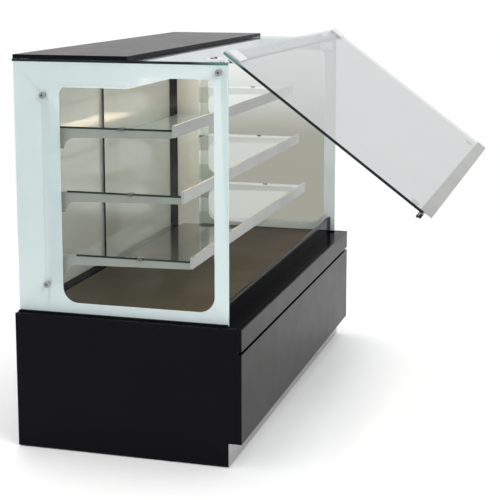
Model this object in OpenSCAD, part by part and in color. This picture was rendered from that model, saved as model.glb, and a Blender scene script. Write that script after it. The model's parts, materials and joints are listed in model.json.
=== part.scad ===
// Hot food display case: a black floor-standing cabinet that carries a glass house with
// three stepped glass shelves, a lift-up front glass and two sliding glass doors behind.
// X runs along the length, -Y is the customer side, +Z is up.
// The origin is the centre of the cabinet's footprint, on the floor.

/* [Cabinet] */
// Length of the cabinet over both end panels
length = 1500; // [1300:50:1800]
// Depth of the cabinet, front boards to rear edge
depth = 714; // [704:1:730]
// Height of the cabinet top above the floor
base_h = 420; // [400:5:460]
// Thickness of the black boards
board_t = 18; // [16:1:20]
// Height of the toe space
kick_h = 74; // [64:1:84]
// Depth of the toe space
kick_set = 40; // [34:1:46]
// Height of the upper front board
front_rail_h = 65; // [55:1:75]
// Height of the shadow gap between the two front boards
shadow_gap = 9; // [6:1:12]

/* [Glass house] */
// Height from the cabinet top to the underside of the roof glass
house_h = 760; // [760:5:800]
// Thickness of the side, roof and front glass
glass_t = 8; // [8:1:10]
// Inset of the side glass from the end panel's outer face
side_inset = 22; // [20:1:26]
// Setback of the side glass from the front boards
glass_set = 46; // [44:1:50]
// Thickness of the black top board
top_board_t = 12; // [10:1:16]
// Depth of the top board and of the light canopy below it
canopy_depth = 361; // [340:1:370]
// Height of the light canopy
canopy_h = 75; // [60:1:80]
// Height of the black upstand behind the front ledge
upstand_h = 61; // [52:1:61]

/* [Shelves] */
// Height of the top shelf glass's underside above the floor
shelf_z = 983; // [970:1:995]
// Vertical pitch of the shelves
shelf_pitch = 192.5; // [185:0.5:195]
// Depth of each shelf glass
shelf_depth = 360; // [340:1:362]
// How much further forward each lower shelf stands
shelf_step = 26; // [0:1:30]
// Thickness of the shelf glass
shelf_t = 6; // [5:1:8]
// Height of the rail along a shelf's front edge
fascia_h = 35; // [30:1:38]

/* [Front glass door] */
// Height of the door with its handle rail, along the glass
door_h = 741; // [735:1:745]
// Angle by which the door stands open
door_open = 53.1; // [0:0.1:60]
// Width of each hinge
hinge_w = 68; // [60:2:72]
// Distance of each hinge's centre from the end of the glass
hinge_in = 49; // [45:1:60]

/* [Rear sliding doors] */
// Overlap of the two closed doors at the middle
door_overlap = 155; // [40:5:200]
// Thickness of the sliding glass
slide_t = 6; // [5:0.5:6]

/* [Hidden] */
$fn = 64;

// Colours
black_board = [0.06, 0.06, 0.07];
steel = [0.66, 0.66, 0.67];
light_steel = [0.80, 0.80, 0.79];
chrome = [0.88, 0.88, 0.90];
glass_tint = [0.78, 0.86, 0.84, 0.35];
print_tint = [0.84, 0.90, 0.89];
black_plastic = [0.05, 0.05, 0.05];
warm_light = [1.00, 0.90, 0.72];

// Cabinet
half_l = length / 2;
front_y = -depth / 2;
rear_y = depth / 2;
inner_x = half_l - board_t;
inner_y = front_y + board_t;
ledge_z = base_h - board_t;
kick_y = front_y + kick_set;
floor_gap = 3;
tube = 30;
tube_wall = 2;
frame_joint = 0.5;
rail_y0 = inner_y;
rail_y1 = rear_y - 6;
pan_open_x = half_l - 95;
pan_open_y0 = front_y + 87;
pan_open_y1 = rear_y - 72;
sheet = 1.5;
rear_sheet = 2;

// Heating under the deck
pan_x = pan_open_x - 1;
pan_y0 = pan_open_y0 + 1;
pan_y1 = pan_open_y1 - 1;
pan_z0 = base_h - 50;
pan_rim = 14;
element_z = base_h - 20;
element_r = 5;
element_x = pan_x - 30;
element_ys = [for (i = [0:3]) pan_y0 + (i + 0.5) * (pan_y1 - pan_y0) / 4];

// Glass house
glass_x = half_l - side_inset;
glass_in = glass_x - glass_t;
glass_y0 = front_y + glass_set;
glass_y1 = rear_y - 2;
roof_z = base_h + house_h;
roof_top = roof_z + glass_t;
top_z = roof_top + top_board_t;
channel_wall = 3;
channel_floor = 2;
channel_h = 5;
print_t = 0.3;
post_x = glass_in - 4;
post_w = 30;
post_y0 = rear_y - 117;
post_y1 = rear_y - 27;
canopy_y0 = glass_y1 - canopy_depth;
canopy_z = roof_z - canopy_h;
canopy_light_x = half_l - 110;
canopy_light_y0 = canopy_y0 + 66;
canopy_light_y1 = canopy_y0 + 166;
fixing_points = [[rear_y - 97, base_h + 661], [rear_y - 97, base_h + 90], [front_y + 74, roof_z - 21]];
fixing_r = 10;
upstand_y = front_y + 61;
upstand_t = 8;
deck_x = half_l - 66;
deck_y0 = upstand_y + 10;
deck_y1 = rear_y - 52;
deck_z = base_h + 10;

// Window left clear by the printed border: rear, front, bottom, low top and high top edges,
// and where its top steps up
win_y1 = rear_y - 147;
win_y0 = front_y + 90;
win_z0 = base_h + 37;
win_z1 = roof_z - 66;
win_z2 = roof_z - 42;
win_step_y = canopy_y0 - 32;
win_r = 48;
win_top_r = 34;
step_r = 12;

// Shelves, front edge of the top one, and the bracket arms that carry them
shelf_y = canopy_y0 - 129;
shelf_x = glass_in - 12;
arm_x = shelf_x - 6;
arm_t = 2;
flange_w = 14;
arm_front_h = 20;
arm_rear_h = 28;
gusset_h = 62;
gusset_r = gusset_h - arm_rear_h;
gusset_w = 35;
fascia_t = 8;
fascia_wall = 1.5;
fascia_top = 17;
light_w = 12;
light_h = 10;
strip_x = arm_x - arm_t - flange_w - 2;
clip_w = 16;
clip_set = 25;
clip_t = 2;

// Front door, drawn closed and then swung about its pivot
pivot_y = front_y + 65;
pivot_z = roof_top + 2;
door_in = glass_y0 - 2;
door_out = door_in - glass_t;
door_top = roof_top + 12;
door_bottom = door_top - door_h;
door_glass_z = door_bottom + 27;
seal_y = upstand_y;
seal_z = door_glass_z + 6.5;
seal_r = 4;
seal_lip_z = base_h + upstand_h + 0.5;
buffer_r = 14;
buffer_t = 6;
hinge_x = glass_x - hinge_in;
buffer_x = hinge_x - 22;
buffer_z = door_glass_z + 35;
knuckle_r = 7;
pin_r = 3;
pin_play = 0.05;
knuckle_in = hinge_w / 2 - 18;
knuckle_gap = 1;
plate_t = 8;
leaf_t = 6;
knuckle_web = 6;
leaf_z0 = door_top - 50;
leaf_z1 = door_top - 4;
notch_y = pivot_y + 16;
clamp_y0 = pivot_y + 8;
clamp_y1 = clamp_y0 + 44;
screw_x = 18;
screw_r = 3;
screw_head_r = 5;
screw_head_h = 3;
door_screw_z = door_top - 35;
clamp_screw_y = clamp_y0 + 29;

// Sliding doors: the right door runs in the inner groove, the left one in the outer groove
track_y0 = post_y1;
track_y1 = track_y0 + 22;
track_wall = 2;
track_h = 16;
groove_mid = (track_y0 + track_y1) / 2;
slide_inner_y = groove_mid - 5;
slide_outer_y = groove_mid + 5;
slide_z0 = base_h + 2.3;
slide_z1 = roof_z - 12;
top_track_h = 30;
stile_t = slide_t + 2;
stile_z0 = base_h + track_h + 2;
stile_z1 = roof_z - top_track_h - 1;
meet_x = door_overlap / 2;
stile_w = 110;
stile_web = 8;
slide_end_x = post_x - 4;
side_channel_w = 34;

// Controls on the rear service panel
panel_y = rear_y - 6;
plate_y = panel_y + rear_sheet;
control_face = plate_y + 2;
control_z = 310;
plate_x0 = half_l - 360;
plate_x1 = half_l - 50;
plate_h = 120;
power_x = half_l - 325;
light_x = half_l - 280;
display_x = half_l - 205;
knob_x = half_l - 110;
switch_w = 20;
switch_h = 30;
switch_depth = 22;
display_w = 70;
display_h = 28;
rocker_pivot_y = control_face - 5;
rocker_tilt = 8;
rocker_pin_r = 1.5;
rocker_play = 0.05;
knob_r = 19;
knob_play = 0.05;
gland_x = -half_l + 110;
gland_z = 120;
gland_r = 8;
gland_nut_r = 13;
gland_bore_r = 4.5;

// ---------- helpers ----------

// A box given by its lowest and highest corners
module block(low, high) {
    translate(low)
        cube([high[0] - low[0], high[1] - low[1], high[2] - low[2]]);
}

// Extrudes an outline drawn in Y and Z along X
module along_x(x0, x1) {
    translate([x0, 0, 0])
        rotate([90, 0, 90])
            linear_extrude(x1 - x0)
                children();
}

// A cylinder along X from x0 to x1, centred on (y, z)
module rod_x(x0, x1, y, z, r) {
    translate([x0, y, z])
        rotate([0, 90, 0])
            cylinder(r = r, h = x1 - x0);
}

// A cylinder along Y from y0 to y1, centred on (x, z)
module rod_y(y0, y1, x, z, r, sides = 64) {
    translate([x, y1, z])
        rotate([90, 0, 0])
            cylinder(r = r, h = y1 - y0, $fn = sides);
}

// A cylinder along Z from z0 to z1, centred on (x, y)
module rod_z(z0, z1, x, y, r, sides = 64) {
    translate([x, y, z0])
        cylinder(r = r, h = z1 - z0, $fn = sides);
}

// Draws the right-hand end's piece, or mirrors it to the left-hand end
module at_end(side) {
    mirror([side < 0 ? 1 : 0, 0, 0])
        children();
}

// Both ends of the case
module both_ends() {
    for (side = [-1, 1])
        at_end(side)
            children();
}

// Rectangle with round corners in the plane of the side glass
module round_rect(y0, z0, y1, z1, r) {
    translate([y0 + r, z0])
        square([y1 - y0 - 2 * r, z1 - z0]);
    translate([y0, z0 + r])
        square([y1 - y0, z1 - z0 - 2 * r]);
    for (y = [y0 + r, y1 - r])
        for (z = [z0 + r, z1 - r])
            translate([y, z])
                circle(r);
}

// Swings the closed front door to the angle at which it stands
module door_swing() {
    translate([0, pivot_y, pivot_z])
        rotate([-door_open, 0, 0])
            translate([0, -pivot_y, -pivot_z])
                children();
}

// Plate with bevelled outer edges, thickness along Y, its broad bevelled face towards -Y
module bevel_plate_y(low, high, bevel) {
    hull() {
        block([low[0], low[1] + bevel, low[2]], high);
        block([low[0] + bevel, low[1], low[2] + bevel], [high[0] - bevel, high[1], high[2] - bevel]);
    }
}

// Plate with bevelled upper edges, thickness along Z
module bevel_plate_z(low, high, bevel) {
    hull() {
        block(low, [high[0], high[1], high[2] - bevel]);
        block([low[0] + bevel, low[1] + bevel, low[2]], [high[0] - bevel, high[1] - bevel, high[2]]);
    }
}

// ---------- cabinet ----------

module end_panel(side) {
    color(black_board)
        at_end(side)
            difference() {
                block([inner_x, inner_y, floor_gap], [half_l, rear_y, base_h]);
                block([inner_x - 1, inner_y - 1, 0], [half_l + 1, kick_y, kick_h]);
            }
}

module front_upper_rail() {
    color(black_board)
        block([-half_l, front_y, base_h - front_rail_h], [half_l, inner_y, base_h]);
}

// The lower board has a tongue at the back that closes the shadow gap
module front_lower_panel() {
    top = base_h - front_rail_h - shadow_gap;
    color(black_board) {
        block([-half_l, front_y, kick_h], [half_l, inner_y, top]);
        block([-half_l, inner_y - 4, top], [half_l, inner_y, top + shadow_gap - 0.5]);
    }
}

module toe_kick() {
    color(steel)
        block([-half_l, kick_y - sheet, floor_gap], [half_l, kick_y, kick_h]);
}

// Front, rear and end boards around the opening for the heater pan
module ledge_boards() {
    color(black_board) {
        block([-inner_x, inner_y, ledge_z], [inner_x, pan_open_y0, base_h]);
        block([-inner_x, pan_open_y1, ledge_z], [inner_x, rear_y, base_h]);
        both_ends()
            block([pan_open_x, pan_open_y0 + 0.3, ledge_z], [inner_x, pan_open_y1 - 0.3, base_h]);
    }
}

module square_tube(low, high, axis) {
    bore = [for (i = [0:2]) i == axis ? -1 : tube_wall];
    difference() {
        block(low, high);
        block(low + bore, high - bore);
    }
}

// Rails and posts of square tube, each a separate length
module base_frame() {
    post_x0 = inner_x - tube;
    color(steel) {
        for (z = [kick_h, ledge_z - tube]) {
            square_tube([-inner_x, rail_y0, z], [inner_x, rail_y0 + tube, z + tube], 0);
            square_tube([-inner_x, rail_y1 - tube, z], [inner_x, rail_y1, z + tube], 0);
            both_ends()
                square_tube([post_x0, rail_y0 + tube + frame_joint, z],
                    [inner_x, rail_y1 - tube - frame_joint, z + tube], 1);
        }
        square_tube([-tube / 2, rail_y0 + tube + frame_joint, kick_h],
            [tube / 2, rail_y1 - tube - frame_joint, kick_h + tube], 1);
        for (y = [rail_y0, rail_y1 - tube])
            for (x = [-inner_x, -tube / 2, post_x0])
                square_tube([x, y, kick_h + tube + frame_joint],
                    [x + tube, y + tube, ledge_z - tube - frame_joint], 2);
    }
}

// Three pairs of feet: pad, boss, stud and lock nut
module leveling_feet() {
    pad_r = 20;
    pad_h = 6;
    boss_r = 12;
    stud_r = 5;
    nut_r = 9;
    nut_h = 8;
    end_x = inner_x - pad_r - 2;
    color(steel)
        for (x = [-end_x, 0, end_x])
            for (y = [kick_y + 27, rear_y - 57]) {
                rod_z(0, pad_h, x, y, pad_r);
                rod_z(pad_h, 2 * pad_h, x, y, boss_r);
                rod_z(2 * pad_h, kick_h, x, y, stud_r);
                rod_z(kick_h - nut_h, kick_h, x, y, nut_r, 6);
            }
}

// Service panel with louvre slots, the control cut-out and the cable hole
module rear_panel() {
    slot_rows = 7;
    slot_w = 240;
    slot_h = 6;
    slot_pitch = 18;
    slot_z = 90;
    lap = 10;
    color(black_board)
        difference() {
            block([-inner_x, panel_y, floor_gap + 2], [inner_x, plate_y, ledge_z]);
            block([plate_x0 + lap, panel_y - 1, control_z - plate_h / 2 + lap],
                [plate_x1 - lap, plate_y + 1, control_z + plate_h / 2 - lap]);
            rod_y(panel_y - 1, plate_y + 1, gland_x, gland_z, gland_r + 0.2);
            for (x = [-430, -120, 190])
                for (row = [0:slot_rows - 1])
                    translate([x, panel_y - 1, slot_z + row * slot_pitch])
                        cube([slot_w, rear_sheet + 2, slot_h]);
        }
}

// ---------- controls ----------

// Opening through the control plate for a body of width w and height h
module cutout(x, w, h) {
    play = 0.2;
    block([x - w / 2 - play, plate_y - 1, control_z - h / 2 - play],
        [x + w / 2 + play, control_face + 1, control_z + h / 2 + play]);
}

module control_plate() {
    color(steel)
        difference() {
            block([plate_x0, plate_y, control_z - plate_h / 2],
                [plate_x1, control_face, control_z + plate_h / 2]);
            for (x = [power_x, light_x])
                cutout(x, switch_w, switch_h);
            cutout(display_x, display_w, display_h);
            rod_y(plate_y - 1, control_face + 1, knob_x, control_z, 5);
        }
}

module switch_body(x) {
    difference() {
        union() {
            block([x - 12, control_face, control_z - 17], [x + 12, control_face + 2, control_z + 17]);
            block([x - switch_w / 2, control_face - switch_depth, control_z - switch_h / 2],
                [x + switch_w / 2, control_face, control_z + switch_h / 2]);
        }
        block([x - 8, control_face - 14, control_z - 13], [x + 8, control_face + 3, control_z + 13]);
        rod_x(x - 9.6, x + 9.6, rocker_pivot_y, control_z, rocker_pin_r + rocker_play);
    }
}

module switch_bodies() {
    color(black_plastic)
        for (x = [power_x, light_x])
            switch_body(x);
}

// A shallow V-shaped cap on two pivot stubs, tipped to its off position
module rocker(x) {
    translate([x, rocker_pivot_y, control_z])
        rotate([-rocker_tilt, 0, 0]) {
            along_x(-7.5, 7.5)
                polygon([[-3.5, -11.3], [8.4, -11.3], [6.8, 0], [8.4, 11.3], [-3.5, 11.3]]);
            rod_x(-9.3, 9.3, 0, 0, rocker_pin_r);
        }
}

module power_rocker() {
    color("red")
        rocker(power_x);
}

module light_rocker() {
    color("white")
        rocker(light_x);
}

module thermostat_body() {
    color(black_plastic)
        difference() {
            union() {
                rod_y(plate_y - 34, plate_y, knob_x, control_z, 21);
                rod_y(plate_y, control_face, knob_x, control_z, 4.8);
            }
            rod_y(plate_y - 18, control_face + 1, knob_x, control_z, pin_r + knob_play);
        }
}

module thermostat_knob() {
    flutes = 18;
    color(black_plastic) {
        difference() {
            union() {
                rod_y(control_face + 0.6, control_face + 4, knob_x, control_z, knob_r + 2);
                rod_y(control_face + 4, control_face + 16, knob_x, control_z, knob_r);
            }
            for (i = [1:flutes - 1])
                translate([knob_x, 0, control_z])
                    rotate([0, i * 360 / flutes, 0])
                        rod_y(control_face + 4, control_face + 17, 0, knob_r + 1, 2);
        }
        block([knob_x - 1.2, control_face + 16, control_z + 6],
            [knob_x + 1.2, control_face + 17, control_z + knob_r - 1]);
        rod_y(plate_y - 16, control_face + 1, knob_x, control_z, pin_r);
    }
}

// A box from y0 to y1, centred on the display, that stands proud of its body by the margin
module display_box(y0, y1, margin) {
    block([display_x - display_w / 2 - margin, y0, control_z - display_h / 2 - margin],
        [display_x + display_w / 2 + margin, y1, control_z + display_h / 2 + margin]);
}

module temperature_display() {
    color(black_plastic)
        difference() {
            union() {
                display_box(control_face, control_face + 2.5, 3);
                display_box(control_face - 20, control_face, 0);
            }
            display_box(control_face + 1.7, control_face + 3, -2);
        }
}

// Gland through the service panel: flange and dome outside, lock nut inside
module cable_gland() {
    color(black_plastic)
        difference() {
            union() {
                rod_y(panel_y - 8, plate_y, gland_x, gland_z, gland_r);
                rod_y(panel_y - 6, panel_y, gland_x, gland_z, gland_nut_r, 6);
                rod_y(plate_y, plate_y + 6, gland_x, gland_z, gland_nut_r, 6);
                rod_y(plate_y + 6, plate_y + 18, gland_x, gland_z, gland_r + 2);
            }
            rod_y(panel_y - 9, plate_y + 19, gland_x, gland_z, gland_bore_r);
        }
}

// ---------- heating ----------

// Open-topped pan that hangs from the ledge boards by its flange
module heater_pan() {
    color(steel)
        difference() {
            union() {
                block([-pan_x, pan_y0, pan_z0], [pan_x, pan_y1, base_h + sheet]);
                block([-pan_x - pan_rim, pan_y0 - pan_rim, base_h],
                    [pan_x + pan_rim, pan_y1 + pan_rim, base_h + sheet]);
            }
            block([sheet - pan_x, pan_y0 + sheet, pan_z0 + sheet],
                [pan_x - sheet, pan_y1 - sheet, base_h + 2 * sheet]);
        }
}

// Straight tubular elements with ceramic ends
module heating_elements() {
    color(steel)
        for (y = element_ys) {
            rod_x(-element_x, element_x, y, element_z, element_r);
            for (side = [-1, 1])
                rod_x(side * element_x - 12, side * element_x + 12, y, element_z, 8);
        }
}

module element_supports() {
    color(steel)
        for (y = element_ys)
            for (x = [-400, 0, 400])
                block([x - 8, y - 12, pan_z0 + sheet], [x + 8, y + 12, element_z - element_r]);
}

// Stainless deck: an inverted shallow tray over the pan
module deck_plate() {
    color(light_steel)
        difference() {
            block([-deck_x, deck_y0, base_h], [deck_x, deck_y1, deck_z]);
            block([sheet - deck_x, deck_y0 + sheet, base_h - 1],
                [deck_x - sheet, deck_y1 - sheet, deck_z - sheet]);
        }
}

// ---------- glass house ----------

module front_upstand() {
    color(black_board)
        block([-post_x, upstand_y, base_h], [post_x, upstand_y + upstand_t, base_h + upstand_h]);
}

module glass_channels() {
    color(black_plastic)
        both_ends()
            difference() {
                block([glass_in - channel_wall, glass_y0, base_h],
                    [glass_x + channel_wall, glass_y1, base_h + channel_h]);
                block([glass_in, glass_y0 - 1, base_h + channel_floor],
                    [glass_x, glass_y1 + 1, base_h + channel_h + 1]);
            }
}

module side_glass(side) {
    color(glass_tint)
        at_end(side)
            difference() {
                block([glass_in, glass_y0, base_h + channel_floor], [glass_x, glass_y1, roof_z]);
                for (p = fixing_points)
                    rod_x(glass_in - 1, glass_x + 1, p[0], p[1], fixing_r / 2);
            }
}

// What rounds off a corner of the window: [y, z, inward y sign, inward z sign, radius]
module window_corner(c) {
    translate([c[0], c[1]])
        mirror([c[2] < 0 ? 1 : 0, 0])
            mirror([0, c[3] < 0 ? 1 : 0])
                difference() {
                    translate([-1, -1])
                        square(c[4] + 1);
                    translate([c[4], c[4]])
                        circle(c[4]);
                }
}

// Clear window: low under the canopy, stepping up in front of it with an S-curve
module window_outline() {
    difference() {
        polygon([[win_y0, win_z0], [win_y1, win_z0], [win_y1, win_z1], [win_step_y, win_z1],
            [win_step_y, win_z2], [win_y0, win_z2]]);
        window_corner([win_y0, win_z0, 1, 1, win_r]);
        window_corner([win_y1, win_z0, -1, 1, win_r]);
        window_corner([win_y1, win_z1, -1, -1, win_top_r]);
        window_corner([win_step_y, win_z2, -1, -1, step_r]);
        window_corner([win_y0, win_z2, 1, -1, 2 * step_r]);
    }
    window_corner([win_step_y, win_z1, 1, 1, step_r]);
}

// Printed border on the inner face of the side glass
module border_print(side) {
    color(print_tint)
        at_end(side)
            difference() {
                block([glass_in - print_t, glass_y0, base_h + channel_h], [glass_in, glass_y1, roof_z]);
                along_x(glass_in - 1, glass_in + 1)
                    window_outline();
                for (p = fixing_points)
                    rod_x(glass_in - 1, glass_in + 1, p[0], p[1], fixing_r - 1);
            }
}

// Round point fixings through the side glass, and the clips that carry the front hinges
module glass_fittings() {
    clip_plate_t = 5;
    clip_z = roof_z - plate_t;
    color(chrome)
        both_ends() {
            for (p = fixing_points) {
                rod_x(glass_x, glass_x + 3, p[0], p[1], fixing_r);
                rod_x(glass_x + 3, glass_x + 4, p[0], p[1], fixing_r - 1);
                rod_x(post_x, glass_x, p[0], p[1], fixing_r / 2 - 0.2);
                rod_x(post_x, glass_in, p[0], p[1], fixing_r - 2);
            }
            block([post_x - clip_plate_t, front_y + 57, clip_z - 32], [post_x, front_y + 107, clip_z]);
            block([hinge_x + 1, clamp_y0, clip_z - clip_plate_t], [post_x, front_y + 107, clip_z]);
        }
}

// Box-section corner post with a row of bracket slots in its front face
module upright(side) {
    slot_count = 12;
    slot_pitch = 50;
    slot_z = base_h + 65;
    color(light_steel)
        at_end(side)
            difference() {
                square_tube([post_x - post_w, post_y0, base_h], [post_x, post_y1, canopy_z], 2);
                for (i = [0:slot_count - 1])
                    translate([post_x - 12, post_y0 - 1, slot_z + i * slot_pitch])
                        cube([4, tube_wall + 2, 14]);
            }
}

module roof_glass() {
    color(glass_tint)
        difference() {
            block([-glass_x, glass_y0 + 2, roof_z], [glass_x, glass_y1, roof_top]);
            both_ends() {
                block([hinge_x - hinge_w / 2 - 2, glass_y0 - 1, roof_z - 1],
                    [hinge_x + hinge_w / 2 + 2, notch_y, roof_top + 1]);
                for (x = [-screw_x, screw_x])
                    rod_z(roof_z - 1, roof_top + 1, hinge_x + x, clamp_screw_y, screw_r + 1);
            }
        }
}

module top_board() {
    color(black_board)
        block([4 - glass_x, canopy_y0, roof_top], [glass_x - 4, glass_y1, top_z]);
}

// Sheet-metal canopy with a slot along its underside for the light
module canopy_housing() {
    color(light_steel)
        difference() {
            block([-post_x, canopy_y0, canopy_z], [post_x, post_y1, roof_z]);
            block([sheet - post_x, canopy_y0 + sheet, canopy_z + sheet],
                [post_x - sheet, post_y1 - sheet, roof_z - sheet]);
            block([-canopy_light_x, canopy_light_y0, canopy_z - 1],
                [canopy_light_x, canopy_light_y1, canopy_z + 2 * sheet]);
        }
}

// ---------- shelves ----------

function shelf_under(i) = shelf_z - i * shelf_pitch;
function shelf_front(i) = shelf_y - i * shelf_step;

module shelf_glass(i) {
    corner = 6;
    y0 = shelf_front(i);
    color(glass_tint)
        translate([0, 0, shelf_under(i)])
            linear_extrude(shelf_t)
                round_rect(-shelf_x, y0, shelf_x, y0 + shelf_depth, corner);
}

// Cantilever arm: a web that deepens into a curved gusset at the post, and a top flange
module shelf_arm(i) {
    y0 = shelf_front(i);
    z = shelf_under(i);
    gusset_y = post_y0 - gusset_r - gusset_w;
    along_x(arm_x - arm_t, arm_x)
        difference() {
            union() {
                polygon([[y0, z], [y0, z - arm_front_h], [gusset_y, z - arm_rear_h],
                    [post_y0, z - arm_rear_h], [post_y0, z]]);
                translate([gusset_y, z - gusset_h])
                    square([post_y0 - gusset_y, gusset_r]);
            }
            translate([gusset_y, z - gusset_h])
                circle(gusset_r);
        }
    block([arm_x - arm_t - flange_w, y0, z - arm_t], [arm_x - arm_t, post_y0, z]);
    block([arm_x - arm_t - flange_w, post_y0 - arm_t, z - gusset_h], [arm_x - arm_t, post_y0, z - arm_t]);
}

module shelf_brackets(i) {
    color(light_steel)
        both_ends()
            shelf_arm(i);
}

// Tube along the front edge of a shelf
module shelf_fascia(i) {
    y0 = shelf_front(i);
    z1 = shelf_under(i) + fascia_top;
    low = [-arm_x - 2, y0 - fascia_t, z1 - fascia_h];
    high = [arm_x + 2, y0, z1];
    color(light_steel)
        difference() {
            block(low, high);
            block(low + [-1, fascia_wall, fascia_wall], high - [-1, fascia_wall, fascia_wall]);
        }
}

// Diffusers: one in the canopy's slot, and one behind each fascia with a round lower face
module light_strips() {
    play = 0.5;
    color(warm_light) {
        block([play - canopy_light_x, canopy_light_y0 + play, canopy_z - 4],
            [canopy_light_x - play, canopy_light_y1 - play, canopy_z + sheet]);
        for (i = [0:2])
            translate([0, shelf_front(i), shelf_under(i) - 4])
                along_x(-strip_x, strip_x)
                    intersection() {
                        translate([0, -light_h])
                            square([light_w, light_h]);
                        translate([0, 2])
                            circle(light_w);
                    }
    }
}

module shelf_clip(y, z) {
    difference() {
        block([arm_x - 8, y - clip_w / 2, z - clip_t],
            [shelf_x + clip_t, y + clip_w / 2, z + shelf_t + clip_t]);
        block([arm_x - 9, y - clip_w, z], [shelf_x, y + clip_w, z + shelf_t]);
        block([arm_x - 9, y - clip_w, z - clip_t - 1], [arm_x, y + clip_w, z + 1]);
    }
}

// U-clips that hold each shelf's end edges down on the arms
module shelf_clips() {
    color(chrome)
        for (i = [0:2])
            both_ends()
                shelf_clip(shelf_front(i) + shelf_depth / 2 - clip_set, shelf_under(i));
}

// ---------- rear doors ----------

// Three ribs on a flat base guide the two doors
module track_outline(h) {
    translate([track_y0, 0])
        square([track_y1 - track_y0, track_wall]);
    for (y = [track_y0, groove_mid - track_wall / 2, track_y1 - track_wall])
        translate([y, 0])
            square([track_wall, h]);
}

module track_bottom() {
    color(black_plastic)
        translate([0, 0, base_h])
            along_x(-post_x, post_x)
                track_outline(track_h);
}

module track_top() {
    color(black_plastic)
        translate([0, 0, roof_z])
            mirror([0, 0, 1])
                along_x(-post_x, post_x)
                    track_outline(top_track_h - 2);
}

// Upright channels that the closed doors run into
module side_channels() {
    web = 2;
    lip = 1.5;
    color(black_plastic)
        both_ends()
            difference() {
                block([post_x - side_channel_w, track_y0, base_h + track_h],
                    [post_x, track_y1, roof_z - top_track_h]);
                block([post_x - side_channel_w - 1, track_y0 + lip, base_h],
                    [post_x - web, track_y1 - lip, roof_z]);
            }
}

// The door's plate runs from its end stile at the right to a bare edge left of the middle
module slide_plate(y) {
    block([-meet_x, y - slide_t / 2, slide_z0], [slide_end_x - stile_web, y + slide_t / 2, slide_z1]);
}

module sliding_glass(y) {
    color(glass_tint)
        slide_plate(y);
}

// U-section stile over the end edge of a sliding door
module end_stile(y) {
    color(black_plastic)
        difference() {
            block([slide_end_x - stile_w, y - stile_t / 2, stile_z0],
                [slide_end_x, y + stile_t / 2, stile_z1]);
            slide_plate(y);
        }
}

// ---------- hinges ----------

// Fixed half: two plates clamp the roof glass, joined through its notch to the middle knuckle
module hinge_clamp() {
    x0 = hinge_x - hinge_w / 2;
    x1 = hinge_x + hinge_w / 2;
    difference() {
        union() {
            bevel_plate_z([x0, clamp_y0, roof_top], [x1, clamp_y1, roof_top + plate_t], 2);
            block([x0, clamp_y0, roof_z], [x1, notch_y - 0.5, roof_top]);
            block([x0, clamp_y0, roof_z - plate_t], [x1, clamp_y1, roof_z]);
            rod_x(hinge_x - knuckle_in, hinge_x + knuckle_in, pivot_y, pivot_z, knuckle_r);
            block([hinge_x - knuckle_in, pivot_y, pivot_z - knuckle_web],
                [hinge_x + knuckle_in, clamp_y0, pivot_z + knuckle_web]);
        }
        rod_x(x0 - 1, x1 + 1, pivot_y, pivot_z, pin_r);
        for (x = [-screw_x, screw_x])
            rod_z(roof_z - plate_t + 2, roof_top + plate_t + 1, hinge_x + x, clamp_screw_y, screw_r);
    }
}

module hinge_clamps() {
    color(chrome)
        both_ends()
            hinge_clamp();
}

module hinge_pins() {
    color(steel)
        both_ends()
            rod_x(hinge_x - hinge_w / 2 - 1, hinge_x + hinge_w / 2 + 1, pivot_y, pivot_z, pin_r);
}

// Moving half: two plates clamp the door glass, and two outer knuckles turn on the pin
module hinge_leaf() {
    x0 = hinge_x - hinge_w / 2;
    x1 = hinge_x + hinge_w / 2;
    split = knuckle_in + knuckle_gap;
    difference() {
        union() {
            bevel_plate_y([x0, door_out - plate_t, leaf_z0], [x1, door_out, leaf_z1], 3);
            block([x0, door_in, leaf_z0], [x1, door_in + leaf_t, leaf_z1]);
            for (x = [x0, hinge_x + split]) {
                rod_x(x, x + hinge_w / 2 - split, pivot_y, pivot_z, knuckle_r);
                block([x, door_in + 4, pivot_z - knuckle_web],
                    [x + hinge_w / 2 - split, pivot_y, pivot_z + knuckle_web]);
            }
        }
        rod_x(x0 - 1, x1 + 1, pivot_y, pivot_z, pin_r + pin_play);
        for (x = [-screw_x, screw_x])
            rod_y(door_out - 4, door_in + 7, hinge_x + x, door_screw_z, screw_r);
    }
}

module hinge_leaves() {
    color(chrome)
        door_swing()
            both_ends()
                hinge_leaf();
}

// ---------- front door ----------

module door_glass() {
    color(glass_tint)
        door_swing()
            difference() {
                block([-glass_x, door_out, door_glass_z], [glass_x, door_in, door_top]);
                both_ends()
                    for (x = [-screw_x, screw_x])
                        rod_y(door_out - 1, door_in + 1, hinge_x + x, door_screw_z, screw_r + 2);
            }
}

// Aluminium rail: a U over the glass edge, a flat blade below and a seal arm behind
module door_handle() {
    lip_z = door_glass_z + 11;
    web_z = door_glass_z - 4;
    color(light_steel)
        door_swing() {
            block([-glass_x, door_out - 2, door_bottom], [glass_x, door_out, lip_z]);
            block([-glass_x, door_out, door_bottom], [glass_x, door_out + 1.5, web_z]);
            block([-glass_x, door_out, web_z], [glass_x, door_in, door_glass_z]);
            block([-glass_x, door_in, web_z], [glass_x, door_in + 1.5, lip_z]);
            block([-post_x, door_in + 1.5, seal_z - 1.5], [post_x, seal_y - seal_r, seal_z + 1.5]);
        }
}

// A round seal with a lip that reaches down to the upstand when the door is closed
module door_seal() {
    color(black_plastic)
        door_swing() {
            rod_x(-post_x, post_x, seal_y, seal_z, seal_r);
            block([-post_x, seal_y - seal_r, seal_z - 1.5], [post_x, seal_y, seal_z + 1.5]);
            block([-post_x, seal_y - 1, seal_lip_z], [post_x, seal_y + 1, seal_z]);
        }
}

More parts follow.
